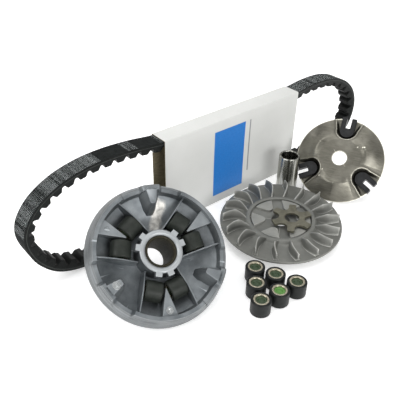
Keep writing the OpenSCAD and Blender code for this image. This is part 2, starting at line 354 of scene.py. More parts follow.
def machined_aluminium():
    s = Shader("machined_aluminium", (0.5, 0.52, 0.53), 0.28, 0.9)
    lines = s.math("SINE", s.math("MULTIPLY", s.radius(), 18000.0))
    s.colour(s.ramp(s.noise(120, 3), (0.3, (0.32, 0.335, 0.34)), (0.7, (0.46, 0.48, 0.48))))
    s.roughness(s.ramp(s.noise(900, 2), (0.3, grey(0.22)), (0.8, grey(0.36))))
    s.bump(lines, 0.12, 0.00005)
    return s.mat


# Bronze bush painted near-black: painted shade of the dim inside of the bore, not the metal's own colour.
def bronze():
    s = Shader("bronze", (0.05, 0.045, 0.03), 0.6, 0.1)
    s.bsdf.inputs["Specular IOR Level"].default_value = 0.12
    # Near-black ramp: painted shade of the bore.
    s.colour(s.ramp(s.noise(700, 3), (0.3, (0.016, 0.0145, 0.0095)), (0.7, (0.04, 0.036, 0.024))))
    s.roughness(s.ramp(s.noise(1500, 2), (0.3, grey(0.5)), (0.75, grey(0.72))))
    s.bump(s.noise(3000, 2), 0.2, 0.00008)
    return s.mat


def nylon(name, base):
    s = Shader(name, base, 0.42)
    s.bsdf.inputs["Specular IOR Level"].default_value = 0.22
    dark, light = tuple(c * 0.8 for c in base), tuple(c * 1.3 for c in base)
    s.colour(s.ramp(s.noise(260, 4), (0.3, dark), (0.72, light)))
    s.roughness(s.ramp(s.noise(1100, 3), (0.3, grey(0.34)), (0.75, grey(0.55))))
    s.bump(s.noise(2200, 2), 0.16, 0.0001)
    s.bump(s.noise(350, 2, (1, 1, 6)), 0.08, 0.0002)
    return s.mat


def ring_metal():
    s = Shader("ring_metal", (0.72, 0.66, 0.5), 0.28, 0.9)
    s.colour(s.ramp(s.noise(500, 3), (0.3, (0.36, 0.33, 0.25)), (0.7, (0.54, 0.5, 0.39))))
    s.roughness(s.ramp(s.noise(1600, 2), (0.3, grey(0.2)), (0.8, grey(0.38))))
    s.bump(s.noise(1500, 2, (1, 1, 0.2)), 0.12, 0.00006)
    return s.mat


def core_plastic(name, base):
    s = Shader(name, base, 0.5)
    dark, light = tuple(c * 0.75 for c in base), tuple(c * 1.25 for c in base)
    s.colour(s.ramp(s.noise(600, 3), (0.3, dark), (0.7, light)))
    s.roughness(s.ramp(s.noise(1200, 3), (0.3, grey(0.42)), (0.75, grey(0.6))))
    s.bump(s.noise(2600, 2), 0.15, 0.0001)
    return s.mat


def blasted_aluminium():
    s = Shader("blasted_aluminium", (0.45, 0.45, 0.42), 0.55, 0.62)
    cloud = s.noise(70, 4)
    grain = s.noise(3200, 2)
    base = s.ramp(cloud, (0.3, (0.16, 0.163, 0.15)), (0.7, (0.22, 0.222, 0.205)))
    # Convex edges lightened: a painted highlight.
    base = s.mix(s.pointed(0.52, 0.6), base, (0.48, 0.48, 0.45))
    # Hollow edges darkened: painted shade.
    base = s.mix(s.pointed(0.49, 0.42), base, (0.07, 0.072, 0.066))
    s.colour(base)
    s.roughness(s.ramp(grain, (0.3, grey(0.48)), (0.75, grey(0.68))))
    s.bump(grain, 0.3, 0.0001)
    s.bump(s.noise(600, 3), 0.12, 0.00025)
    return s.mat


def olive_steel():
    s = Shader("olive_steel", (0.24, 0.23, 0.18), 0.46, 0.75)
    s.colour(s.ramp(s.noise(240, 4), (0.3, (0.12, 0.116, 0.088)), (0.7, (0.19, 0.182, 0.14))))
    s.roughness(s.ramp(s.noise(1500, 3), (0.3, grey(0.36)), (0.75, grey(0.58))))
    s.bump(s.noise(2600, 2), 0.2, 0.0001)
    return s.mat


def ground_steel():
    s = Shader("ground_steel", (0.5, 0.5, 0.47), 0.24, 1.0)
    streak = s.noise(500, 3, (1, 1, 0.03))
    s.colour(s.ramp(streak, (0.38, (0.14, 0.14, 0.125)), (0.62, (0.55, 0.55, 0.51))))
    s.roughness(s.ramp(s.noise(900, 2, (1, 1, 8)), (0.3, grey(0.16)), (0.75, grey(0.34))))
    s.bump(s.noise(900, 2, (0.4, 0.4, 12)), 0.15, 0.00005)
    return s.mat


def pressed_steel():
    """Warm brushed sheet with dull clouds, a painted highlight along the outward bends and painted shade in
    the creases.
    """
    s = Shader("pressed_steel", (0.2, 0.19, 0.155), 0.3, 0.95)
    brushed = s.noise(420, 4, (0.25, 5, 1))
    swirl = s.math("SINE", s.math("MULTIPLY", s.radius(), 9000.0))
    cloud = s.noise(60, 4)
    base = s.ramp(brushed, (0.3, (0.11, 0.106, 0.088)), (0.7, (0.19, 0.182, 0.152)))
    base = s.mix(s.ramp(cloud, (0.45, grey(0.0)), (0.72, grey(0.8))), base, (0.25, 0.24, 0.205))
    # Painted highlight along the outward bends.
    base = s.mix(s.pointed(0.515, 0.57), base, (0.72, 0.7, 0.6))
    # Painted shade in the creases and hollow bends.
    base = s.mix(s.pointed(0.49, 0.43), base, (0.05, 0.048, 0.04))
    s.colour(base)
    s.roughness(s.ramp(s.noise(140, 4), (0.3, grey(0.33)), (0.75, grey(0.5))))
    s.bump(brushed, 0.14, 0.00008)
    s.bump(swirl, 0.05, 0.00005)
    return s.mat


def slide_plastic():
    s = Shader("slide_plastic", (0.012, 0.013, 0.014), 0.45)
    s.bsdf.inputs["Specular IOR Level"].default_value = 0.3
    s.colour(s.ramp(s.noise(300, 3), (0.3, (0.006, 0.0065, 0.007)), (0.7, (0.016, 0.017, 0.018))))
    s.roughness(s.ramp(s.noise(900, 3), (0.3, grey(0.3)), (0.75, grey(0.5))))
    s.bump(s.noise(2400, 2), 0.18, 0.0001)
    return s.mat


DASHES_ALONG, DASH_ROWS = 430.0, 8.0


def belt_back(length):
    """Ground rubber back with rows of thin pale dashes that spell nothing, in patches along the belt."""
    s = Shader("belt_back", (0.02, 0.022, 0.022), 0.8)
    s.bsdf.inputs["Specular IOR Level"].default_value = 0.08
    uv = s.nodes.new("ShaderNodeTexCoord").outputs["UV"]
    along, across, _ = s.axes(uv)
    weave = s.noise(1500, 3)
    base = s.ramp(s.noise(260, 4), (0.3, (0.004, 0.005, 0.005)), (0.72, (0.013, 0.0155, 0.015)))
    combine = s.nodes.new("ShaderNodeCombineXYZ")
    s.links.new(s.math("FLOOR", s.math("MULTIPLY", along, DASHES_ALONG)), combine.inputs[0])
    s.links.new(s.math("FLOOR", s.math("MULTIPLY", across, DASH_ROWS)), combine.inputs[1])
    chance = s.nodes.new("ShaderNodeTexWhiteNoise")
    chance.noise_dimensions = "2D"
    s.links.new(combine.outputs[0], chance.inputs["Vector"])
    mark = s.math("GREATER_THAN", chance.outputs["Value"], 0.45)
    lines = s.band(s.math("FRACT", s.math("MULTIPLY", across, DASH_ROWS)), 0.35, 0.68, 0.04)
    lines = s.math("MULTIPLY", lines, s.band(across, 0.1, 0.9, 0.01))
    period = (length - 300) / 4
    phase = 0.12 - 150 / period
    repeat = s.math("FRACT", s.math("MULTIPLY_ADD", along, length / period, phase))
    patch = s.math("ADD", s.band(repeat, 0.12, 0.72, 0.004), s.band(repeat, 0.9, 0.96, 0.004))
    mask = s.math("MULTIPLY", s.math("MULTIPLY", mark, lines), patch)
    mask = s.math("MULTIPLY", mask, s.ramp(s.noise(900, 2), (0.3, grey(0.45)), (0.6, grey(1.0))))
    s.colour(s.mix(mask, base, (0.5, 0.53, 0.53)))
    s.roughness(s.ramp(weave, (0.3, grey(0.7)), (0.75, grey(0.9))))
    s.bump(weave, 0.3, 0.0002)
    s.bump(s.noise(260, 3), 0.12, 0.0003)
    return s.mat


def belt_rubber(name, base, grain=1300):
    s = Shader(name, base, 0.55)
    s.bsdf.inputs["Specular IOR Level"].default_value = 0.15
    dark, light = tuple(c * 0.7 for c in base), tuple(c * 1.5 for c in base)
    s.colour(s.ramp(s.noise(grain, 4), (0.3, dark), (0.72, light)))
    s.roughness(s.ramp(s.noise(700, 3), (0.3, grey(0.42)), (0.75, grey(0.66))))
    s.bump(s.noise(grain, 3), 0.3, 0.00025)
    return s.mat


def sleeve_card(panel, rule):
    """White coated board with one plain blue panel and one plain grey rule on its front."""
    s = Shader("sleeve_card", (0.83, 0.835, 0.81), 0.5)
    x, y, z = s.axes()
    cloud = s.ramp(s.noise(30, 3), (0.3, (0.56, 0.566, 0.546)), (0.7, (0.6, 0.602, 0.584)))
    front = s.math("LESS_THAN", y, KIT.y * MM + 0.0016)
    blue = s.math("MULTIPLY", s.band(x, *panel[0]), s.band(z, *panel[1]))
    blue = s.math("MULTIPLY", blue, front)
    dark = s.math("MULTIPLY", s.math("MULTIPLY", s.band(x, *rule[0]), s.band(z, *rule[1])), front)
    ink = s.ramp(s.noise(900, 2), (0.3, (0.0, 0.13, 0.44)), (0.7, (0.002, 0.155, 0.5)))
    s.colour(s.mix(dark, s.mix(blue, cloud, ink), (0.22, 0.23, 0.24)))
    s.roughness(s.ramp(s.noise(500, 3), (0.3, grey(0.42)), (0.75, grey(0.56))))
    s.bump(s.noise(1800, 2), 0.06, 0.0001)
    return s.mat


def sleeve_board():
    s = Shader("sleeve_board", (0.2, 0.17, 0.1), 0.8)
    fibre = s.noise(900, 4, (0.3, 1, 2))
    s.colour(s.ramp(fibre, (0.3, (0.14, 0.12, 0.07)), (0.7, (0.26, 0.225, 0.145))))
    s.roughness(s.ramp(s.noise(600, 2), (0.3, grey(0.7)), (0.75, grey(0.9))))
    s.bump(fibre, 0.25, 0.0002)
    return s.mat


def floor_material():
    """White sweep that glows a little, so that shadows stay faint."""
    s = Shader("floor", (0.92, 0.92, 0.92), 0.6)
    s.bsdf.inputs["Emission Color"].default_value = (1, 1, 1, 1)
    s.bsdf.inputs["Emission Strength"].default_value = 0.38
    s.roughness(s.ramp(s.noise(6, 2), (0.3, grey(0.55)), (0.7, grey(0.65))))
    return s.mat


CAST = cast_aluminium()
MACHINED = machined_aluminium()
BRONZE_PAINTED_SHADE = bronze()
NYLON_FITTED = nylon("nylon_fitted", (0.018, 0.021, 0.0175))
NYLON_SPARE = nylon("nylon_spare", (0.008, 0.0092, 0.0088))
RING = ring_metal()
CORE = core_plastic("core_green", (0.03, 0.055, 0.022))
CORE_BRIGHT = core_plastic("core_bright_green", (0.09, 0.24, 0.045))
BLASTED = blasted_aluminium()
OLIVE = olive_steel()
GROUND = ground_steel()
PRESSED = pressed_steel()
SLIDE = slide_plastic()


def finish_piece(obj, body, slot, materials, *nodes):
    for m in materials:
        obj.data.materials.append(m)
    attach(obj, body)
    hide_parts(*nodes)


# ---------------------------------------------------------------- drive belt
BELT_W, BELT_T, BELT_WEB, COGS = 17.2, 9.2, 4.9, 72
BELT_Y, FLANK_ANGLE = 9.4, 14
# anchor points of the loop, [x, z] on the flat back, as in the solid model
LOOP = [(x, 86) for x in range(0, 136, 27)]
LOOP += [(162, 86.2), (186, 88.6), (212, 87.6), (235, 80.6), (252, 68)]
LOOP += [(261, 53), (262.6, 38), (258, 23), (247, 10), (230, 2.2), (208, 0.4), (185, 0.6), (162, 1.0)]
LOOP += [(x, 1.1) for x in range(135, 26, -27)] + [(0, 1.0), (-29, 0.6), (-60, 0.5), (-88, 2.4)]
LOOP += [(-110, 11.5), (-125, 27.5), (-132.2, 44.5), (-132.6, 58), (-127, 69.5), (-115.5, 80), (-97, 88.2)]
LOOP += [(-74, 92), (-50, 91.8), (-25, 89.4)]
LOOP_SWING, SWING_BEND, SWING_RUN = 7, 60, 70


def swing(x):
    """How far the left loop stands to the front, as in the solid model."""
    if x > 0:
        return 0.0
    if x > -SWING_BEND:
        return -LOOP_SWING * x * x / (2 * SWING_BEND * SWING_RUN)
    return -LOOP_SWING * (-x - SWING_BEND / 2) / SWING_RUN


class Loop:
    """Smooth closed curve through the anchors, read by distance along it."""

    def __init__(self, anchors, parts=6):
        n = len(anchors)
        pts = [Vector(a) for a in anchors]
        self.fine = []
        for i in range(n):
            a, b, c, d = (pts[(i + k) % n] for k in (-1, 0, 1, 2))
            for k in range(parts):
                t = k / parts
                curved = (2 * a - 5 * b + 4 * c - d) * t**2
                self.fine.append(0.5 * (2 * b + (c - a) * t + curved + (3 * b - a - 3 * c + d) * t**3))
        self.run = [0.0]
        for i in range(len(self.fine)):
            self.run.append(self.run[-1] + (self.fine[(i + 1) % len(self.fine)] - self.fine[i]).length)
        self.length = self.run[-1]

    def at(self, s):
        s %= self.length
        low, high = 0, len(self.fine)
        while high - low > 1:
            mid = (low + high) // 2
            if self.run[mid] <= s:
                low = mid
            else:
                high = mid
        t = (s - self.run[low]) / (self.run[low + 1] - self.run[low])
        return self.fine[low].lerp(self.fine[(low + 1) % len(self.fine)], t)

    def inward(self, s):
        t = (self.at(s + 2.0) - self.at(s - 2.0)).normalized()
        return Vector((t.y, -t.x))


def cog_depth(u):
    """Thickness of the belt at u of the way along one cog: rounded root, rounded cog."""
    rise = smooth_step((u - 0.2) / 0.22)
    fall = smooth_step((1.04 - u) / 0.22) if u > 0.6 else 1.0
    if u < 0.04:
        rise = 1 - smooth_step((u + 0.18) / 0.22)
        fall = 1.0
    return BELT_WEB + (BELT_T - BELT_WEB) * rise * fall


def make_belt():
    loop = Loop(LOOP)
    flank = math.tan(math.radians(FLANK_ANGLE))
    half = BELT_W / 2
    steps = [0.0, 0.06, 0.13, 0.2, 0.25, 0.3, 0.35, 0.42, 0.52, 0.62, 0.72, 0.82, 0.87, 0.92, 0.96]
    points, faces, slots, uvs = [], [], [], []
    rings = [(c + u) / COGS * loop.length for c in range(COGS) for u in steps]
    depths = [cog_depth(u) for c in range(COGS) for u in steps]
    side = [(0.0, 0.45), (0.45, 0.0), (1.5, 0.0), (1.7, -0.14), (2.5, -0.14), (2.7, 0.05)]
    for s, h in zip(rings, depths):
        p, n = loop.at(s), loop.inward(s)
        section = [(half - inset - d * flank * (d > 0.4), d) for d, inset in side]
        section += [(half - (h - 0.9) * flank - 0.05, h - 0.9), (half - h * flank - 0.1, h - 0.3)]
        section += [(half - h * flank - 0.7, h)]
        full = section + [(half * 0.35, h)] + [(-y, d) for y, d in reversed(section)]
        for y, d in full:
            q = p + n * d
            points.append((q.x, BELT_Y + swing(p.x) + y, q.y))
    per = len(full)
    count = len(rings)
    for i in range(count):
        j = (i + 1) % count
        for k in range(per):
            m = (k + 1) % per
            faces.append((i * per + k, i * per + m, j * per + m, j * per + k))
            if k == per - 1:
                slots.append(0)
            elif k in (3, per - 5):
                slots.append(3)
            elif k in (8, 9):
                slots.append(2)
            else:
                slots.append(1)
            a, b = i / count, (i + 1) / count
            va, vb = (0.03, 0.97) if k == per - 1 else (0.0, 1.0)
            uvs += [(a, vb), (a, va), (b, va), (b, vb)]
    belt = piece("belt", [Vector(p) + KIT for p in points], faces)
    layer = belt.data.uv_layers.new(name="UVMap")
    for i, uv in enumerate(uvs):
        layer.data[i].uv = uv
    materials = [
        belt_back(loop.length),
        belt_rubber("belt_side", (0.006, 0.007, 0.0065)),
        belt_rubber("belt_cog", (0.005, 0.0056, 0.0052), 900),
        belt_rubber("belt_cord_line", (0.03, 0.033, 0.031), 2000),
    ]
    finish_piece(belt, "belt_set", "belt_rubber", materials, "drive_belt")
    for polygon, index in zip(belt.data.polygons, slots):
        polygon.material_index = index
    weighted = belt.modifiers.new("normals", "WEIGHTED_NORMAL")
    weighted.keep_sharp = True
    belt.data.set_sharp_from_angle(angle=math.radians(50))


make_belt()


# ---------------------------------------------------------------- card sleeve
SLEEVE_L, SLEEVE_D, SLEEVE_H, CARD = 162.0, 18.8, 87.0, 0.6


def make_sleeve():
    fold = 0.9
    back, top = SLEEVE_D - fold, SLEEVE_H - fold
    corners = [(fold, fold), (back, fold), (back, top), (fold, top)]

    def outline(inset, lift):
        """Rounded rectangle in (y, z); lift bows the two large walls, which stay inside the solid's box."""
        ring = []
        for index, (cy, cz) in enumerate(corners):
            for k in range(5):
                a = math.radians(180 + 90 * index + 22.5 * k)
                radius = max(fold - inset, 0.15)
                y, z = cy + radius * math.cos(a), cz + radius * math.sin(a)
                ring.append((y, z))
            nxt = corners[(index + 1) % 4]
            for k in range(1, 8):
                t = k / 8
                y, z = cy + (nxt[0] - cy) * t, cz + (nxt[1] - cz) * t
                normal = [(0, -1), (1, 0), (0, 1), (-1, 0)][index]
                bow = lift * math.sin(math.pi * t) if index in (1, 3) else 0.0
                y += normal[0] * (fold - inset - bow)
                z += normal[1] * (fold - inset - bow)
                ring.append((y, z))
        return ring

    stations = [0, 0.3, 1.2, 3] + [3 + (SLEEVE_L - 6) * k / 24 for k in range(1, 24)]
    stations += [SLEEVE_L - 3, SLEEVE_L - 1.2, SLEEVE_L - 0.3, SLEEVE_L]
    points, faces, slots = [], [], []
    for inner in (False, True):
        for x in stations:
            lift = 0.45 * math.sin(math.pi * x / SLEEVE_L)
            ring = outline(CARD if inner else 0.0, lift)
            per = len(ring)
            points += [(x, y, z) for y, z in ring]
    n = len(stations)
    for side in (0, 1):
        base = side * n * per
        for i in range(n - 1):
            for k in range(per):
                m = (k + 1) % per
                a, b = base + i * per, base + (i + 1) * per
                quad = (a + k, a + m, b + m, b + k)
                faces.append(quad if side else tuple(reversed(quad)))
                slots.append(side)
    for i, flip in ((0, False), (n - 1, True)):
        for k in range(per):
            m = (k + 1) % per
            a = i * per
            b = n * per + i * per
            quad = (a + k, a + m, b + m, b + k)
            faces.append(tuple(reversed(quad)) if flip else quad)
            slots.append(1)
    sleeve = piece("sleeve", [Vector(p) + KIT for p in points], faces)
    x0 = KIT.x * MM
    panel = ((x0 + 0.055, x0 + 0.0925), (0.009, 0.077))
    rule = ((x0 + 0.098, x0 + 0.0995), (0.022, 0.077))
    materials = [sleeve_card(panel, rule), sleeve_board()]
    finish_piece(sleeve, "belt_set", "sleeve_card", materials, "belt_sleeve")
    for polygon, index in zip(sleeve.data.polygons, slots):
        polygon.material_index = index
    sleeve.data.set_sharp_from_angle(angle=math.radians(40))


make_sleeve()


# ---------------------------------------------------------------- variator housing
HUB_R, HUB_TOP, NOSE_Z = 16.5, 13.0, -22.0
HOUSING_R, RIM_Z, LOW_RIM, GUIDE_TOP = 54.6, 12.5, 8.0, 13.2
UNDER_FLOOR, BUSH_SEAT_R = -6.0, 12.02


def rim_shape(angle, r, z):
    """Cuts the rim down beside each guide with sloping ends, and swells it up and out round the guide."""
    if r < 46.6 or z < 4:
        return r, z
    off = abs((angle + 60) % 120 - 60)
    swell = smooth_step((off - 49.5) / 3.5)
    level = RIM_Z - (RIM_Z - LOW_RIM) * smooth_step((off - 31.5) / 2.5) + (GUIDE_TOP - LOW_RIM) * swell
    out = 1.3 * swell * min(1.0, (z - 4) / 8) if r > 48.5 else 0.0
    return r + out, min(z, level)


def housing_profile():
    return rounded(
        [
            (BUSH_SEAT_R, NOSE_Z), (HUB_R - 0.8, NOSE_Z), (HUB_R, NOSE_Z + 0.8), (HUB_R, -10.4),
            (54.0, -1.2),
            (HOUSING_R, -0.6), (HOUSING_R, 0.6), (54.1, 2.4), (53.3, 5.2), (52.2, 8.4), (51.0, 11.2),
            (50.3, 13.3),
            (47.6, 13.3), (47.1, 6.0), (46.4, 3.0), (42.0, 0.7), (36.0, -2.4), (31.0, -4.6), (27.0, -5.2),
            (HUB_R + 0.8, -5.3), (HUB_R, -4.4), (HUB_R, 12.2), (HUB_R - 1.0, HUB_TOP), (13.4, HUB_TOP),
            (BUSH_SEAT_R, HUB_TOP - 1.3),
        ],
        0.5,
    )


def ridge(stations):
    """Wall through stations of (x, y, top, half width at the top, half width at the foot)."""
    points, faces = [], []
    for x, y, top, thin, thick in stations:
        points += [(x, y - thick, UNDER_FLOOR), (x, y - thin, top)]
        points += [(x, y + thin, top), (x, y + thick, UNDER_FLOOR)]
    for i in range(0, 4 * len(stations) - 4, 4):
        for k in range(4):
            m = (k + 1) % 4
            faces.append((i + k, i + m, i + 4 + m, i + 4 + k))
    last = 4 * len(stations) - 4
    faces += [(3, 2, 1, 0), (last, last + 1, last + 2, last + 3)]
    return points, faces


def pocket_wall(side):
    """Thin wall on the outer side of a weight pocket, highest in its middle and low at the hub."""
    y = side * 7.8
    tops = [(15, 4.4), (19, 5.2), (23, 6.9), (27, 8.5), (32, 9.2), (38, 9.3), (43, 8.9), (48.3, 8.2)]
    return turned(ridge([(x, y, top, 0.5, 1.35) for x, top in tops]), side * PAIR_HALF)


def floor_groove(side):
    """Low bead on the floor beside a pocket wall."""
    y = side * 11.3
    tops = [(24, -4.9), (30, -4.6), (36, -1.9), (42, 1.2), (46, 3.3)]
    return turned(ridge([(x, y, top, 0.35, 0.8) for x, top in tops]), side * PAIR_HALF)


def pillar():
    return prism([(26.8, -0.5), (47.9, -6.3), (47.9, 6.3), (26.8, 0.5)], UNDER_FLOOR, 9.0, 0.35)


def pin_mark(x, z, radius, height=0.4):
    """Raised ejector disc with a dished face."""
    profile = [(0.01, 0.0), (radius, 0.0), (radius, height), (radius - 0.5, height), (0.01, 0.3 * height)]
    points, faces = lathe(rounded(profile, 0.12), 48)
    return [(px + x, py, pz + z) for px, py, pz in points], faces


def guide():
    """Block that a slide of the ramp plate runs on: broad foot on the sloping floor, narrow top."""
    foot = [(31.4, -2.6, -6.0), (36.0, -5.4, -4.0), (48.3, -9.8, 2.0)]
    foot += [(x, -y, z) for x, y, z in reversed(foot)]
    head = [(36.9, -1.0), (37.5, -2.1), (49.6, -4.5)]
    head += [(x, -y) for x, y in reversed(head)]
    n = len(foot)
    points = foot + [(x, y, GUIDE_TOP) for x, y in head]
    faces = [tuple(reversed(range(n))), tuple(range(n, 2 * n))]
    faces += [(i, (i + 1) % n, n + (i + 1) % n, n + i) for i in range(n)]
    return points, faces


def hub_lug(side):
    outline = [(14.5, -2.7), (19.4, -2.5), (19.4, 2.5), (14.5, 2.7)]
    return turned(prism(outline, 7.0, 12.9, 0.15), side * 15)


def make_housing():
    matrix = place(HOUSING_AT, HOUSING_TURN, HOUSING_SPIN)
    body = piece("housing_shell", *lathe(housing_profile(), 720, rim_shape), matrix)
    body.data.set_sharp_from_angle(angle=math.radians(32))
    walls, blocks = [], []
    for k in (0, 120, 240):
        for side in (-1, 1):
            walls += [turned(pocket_wall(side), k), turned(floor_groove(side), k), turned(hub_lug(side), k)]
        blocks += [turned(pillar(), k), turned(guide(), k + 60)]
    ribs = soften(piece("housing_ribs", *merge(walls), matrix), 0.3, 3)
    towers = soften(piece("housing_towers", *merge(blocks), matrix), 0.45, 3)
    on_pillar, on_guide = pin_mark(43.2, 8.95, 2.9), pin_mark(42.0, GUIDE_TOP - 0.05, 3.1)
    marks = merge([turned(on_pillar, 240), turned(on_guide, 180)])
    discs = piece("housing_pin_marks", *marks, matrix)
    faint = piece("housing_faint_mark", *turned(pin_mark(42.4, 8.95, 2.4, 0.18), 120), matrix)
    casting = ["variator_housing"] + sorted(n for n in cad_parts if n.startswith("housing_"))
    for obj, material in ((body, CAST), (ribs, CAST), (towers, CAST), (discs, MACHINED), (faint, CAST)):
        finish_piece(obj, "housing", "cast_aluminium", [material], *casting)


make_housing()


def make_bush():
    profile = [
        (10.6, NOSE_Z + 0.4), (11.6, NOSE_Z + 0.4), (12.0, NOSE_Z + 0.8), (12.0, HUB_TOP - 1.6),
        (11.6, HUB_TOP - 1.2), (10.7, HUB_TOP - 1.2), (10.03, HUB_TOP - 1.9), (10.03, NOSE_Z + 0.9),
    ]
    bush = piece("bush", *lathe(rounded(profile, 0.25), 128), place(HOUSING_AT, HOUSING_TURN))
    bush.data.set_sharp_from_angle(angle=math.radians(35))
    finish_piece(bush, "housing", "bronze", [BRONZE_PAINTED_SHADE], "variator_bush")


make_bush()


# ---------------------------------------------------------------- weights
ROLLER_R, ROLLER_L, RING_R, RING_BORE = 8.0, 13.0, 6.0, 4.4


def make_weight(prefix, index, body, matrix, shell_material, core_material):
    h = ROLLER_L / 2
    shell = rounded(
        [
            (RING_R + 0.02, -h + 0.35), (RING_R + 0.45, -h), (ROLLER_R - 0.75, -h), (ROLLER_R, -h + 0.75),
            (ROLLER_R, h - 0.75), (ROLLER_R - 0.75, h), (RING_R + 0.45, h), (RING_R + 0.02, h - 0.35),
        ],
        0.3,
    )
    ring = rounded(
        [
            (RING_BORE + 0.4, -h + 0.4), (RING_R, -h + 0.4), (RING_R, h - 0.4), (RING_BORE + 0.4, h - 0.4),
            (RING_BORE, h - 0.8), (RING_BORE, -h + 0.8),
        ],
        0.15,
    )
    deep = h - 1.6
    core = rounded(
        [
            (0.01, -deep + 1.2), (2.4, -deep + 1.2), (2.9, -deep), (RING_BORE - 0.02, -deep),
            (RING_BORE - 0.02, deep), (2.9, deep), (2.4, deep - 1.2), (0.01, deep - 1.2),
        ],
        0.25,
    )
    parts = (("shell", shell, shell_material, "weight_nylon"), ("ring", ring, RING, "ring_brass"))
    parts += (("core", core, core_material, "core_green"),)
    for kind, profile, material, slot in parts:
        obj = piece(f"{prefix}_{kind}_{index}_turned", *lathe(profile, 96), matrix)
        obj.data.set_sharp_from_angle(angle=math.radians(35))
        if material is CORE_BRIGHT:
            slot = "core_bright_green"
        finish_piece(obj, body, slot, [material], f"{prefix}_{kind}_{index}")


def make_weights():
    for i in range(1, 7):
        angle = HOUSING_SPIN + 120 * ((i - 1) // 2) + (-PAIR_HALF if i % 2 else PAIR_HALF)
        matrix = (
            place(HOUSING_AT, HOUSING_TURN, angle)
            @ Matrix.Translation(Vector((WEIGHT_R, 0, WEIGHT_Z)) * MM)
            @ Matrix.Rotation(math.radians(90), 4, "X")
        )
        make_weight("weight", i, f"weight_{i}", matrix, NYLON_FITTED, CORE)
    for i, (x, y) in enumerate(SPARES, 1):
        matrix = place(Vector((x, y, ROLLER_L / 2)), spin=37 * i)
        make_weight("spare", i, f"spare_{i}", matrix, NYLON_SPARE, CORE_BRIGHT if i == 5 else CORE)


make_weights()


# ---------------------------------------------------------------- fan face
FAN_R, BLADES, BLADE_H = 53.9, 18, 9.5
BLADE_START, BLADE_RUN, SHOULDER_R = 30.4, 21.2, 39.6


def blade(angle):
    """Thin curved blade with a widened foot, rising from the land to its shoulder."""
    stations = 14
    points, faces = [], []
    for i in range(stations):
        t = i / (stations - 1)
        r = BLADE_START + t * BLADE_RUN
        y = -2.9 * math.sin(math.pi * t) * (1 - 0.1 * t) + 0.2
        rise = min(1.0, (r - BLADE_START) / 9.2)
        if r < SHOULDER_R:
            top = 3.7 + (BLADE_H - 2.6) * rise**0.85
        else:
            top = 1.1 + BLADE_H - 2.4 * ((r - SHOULDER_R) / 12) ** 1.4
        thick = 0.85 - 0.1 * t
        for dy, z in (
            (-thick - 1.6, 0.9), (-thick - 0.55, 1.7), (-thick, 3.0), (-thick + 0.22, top - 0.35),
            (-thick + 0.5, top), (thick - 0.5, top), (thick - 0.22, top - 0.35), (thick, 3.0),
            (thick + 0.55, 1.7), (thick + 1.6, 0.9),
        ):
            points.append((r, y + dy, min(z, top)))
    n = 10
    for i in range(stations - 1):
        for k in range(n):
            m = (k + 1) % n
            faces.append((i * n + k, i * n + m, (i + 1) * n + m, (i + 1) * n + k))
    faces.append(tuple(range(n)))
    faces.append(tuple(reversed(range((stations - 1) * n, stations * n))))
    return turned((points, faces), angle)


STAR_R, STAR_VALLEY, STAR_T, STAR_HOLE_R = 18.2, 11.2, 2.4, 6.4
LOBES, LOBE_HALF_WIDTH, FILLET_STEPS = 6, 3.2, 6


def star_outline(tip, valley, half_width, phase):
    """Six-lobed outline with parallel lobe sides and rounded valleys."""
    out = []
    step = 360 / LOBES
    for k in range(LOBES):
        a = k * step + phase

        def at(x, y, turn=a):
            c, s = math.cos(math.radians(turn)), math.sin(math.radians(turn))
            return (x * c - y * s, x * s + y * c)

        out.append(at(valley + 2.6, -half_width))
        out.append(at(tip - 0.8, -half_width))
        out.append(at(tip, -half_width + 0.8))
        out.append(at(tip, half_width - 0.8))
        out.append(at(tip - 0.8, half_width))
        out.append(at(valley + 2.6, half_width))
        start = Vector(at(valley + 2.6, half_width))
        end = Vector(at(valley + 2.6, -half_width, a + step))
        middle = Vector(at(valley, 0, a + step / 2))
        control = 2 * middle - 0.5 * (start + end)
        for j in range(1, FILLET_STEPS):
            t = j / FILLET_STEPS
            out.append(tuple(start * (1 - t) ** 2 + control * 2 * t * (1 - t) + end * t**2))
    return out


def pad(angle):
    """Raised pad between two arms of the star recess."""
    outline = []
    for a in range(-20, 21, 5):
        outline.append((26.4 * math.cos(math.radians(a)), 26.4 * math.sin(math.radians(a))))
    outline += [(17.5, 4.8), (14.2, 2.6), (13.4, 0), (14.2, -2.6), (17.5, -4.8)]
    return turned(prism(outline, 0.8, 3.2, 0.25), angle)


def make_fan():
    matrix = place(FAN_AT, FAN_TURN)
    profile = rounded(
        [
            (8.0, -9.4), (8.5, -9.9), (20.5, -9.9), (21.0, -9.4), (FAN_R - 0.5, -1.2), (FAN_R, -0.6),
            (FAN_R, 0.7), (FAN_R - 0.6, 1.2), (51.5, 1.0), (36.0, 1.3), (32.8, 2.0), (31.2, 3.5),
            (30.2, 4.0), (27.6, 4.0), (27.2, 3.6), (27.2, 1.2), (8.0, 1.2),
        ],
        0.45,
    )
    disc = piece("fan_disc", *lathe(profile, 240), matrix)
    disc.data.set_sharp_from_angle(angle=math.radians(35))
    blades = piece("fan_blades", *merge([blade(k * 360 / BLADES + 9.4) for k in range(BLADES)]), matrix)
    blades.data.set_sharp_from_angle(angle=math.radians(60))
    pads = piece("fan_pads", *merge([pad(60 * k + 12) for k in range(6)]), matrix)
    soften(pads, 0.3, 2)
    for obj in (disc, blades, pads):
        finish_piece(obj, "fan", "blasted_aluminium", [BLASTED], "fan_face")


make_fan()


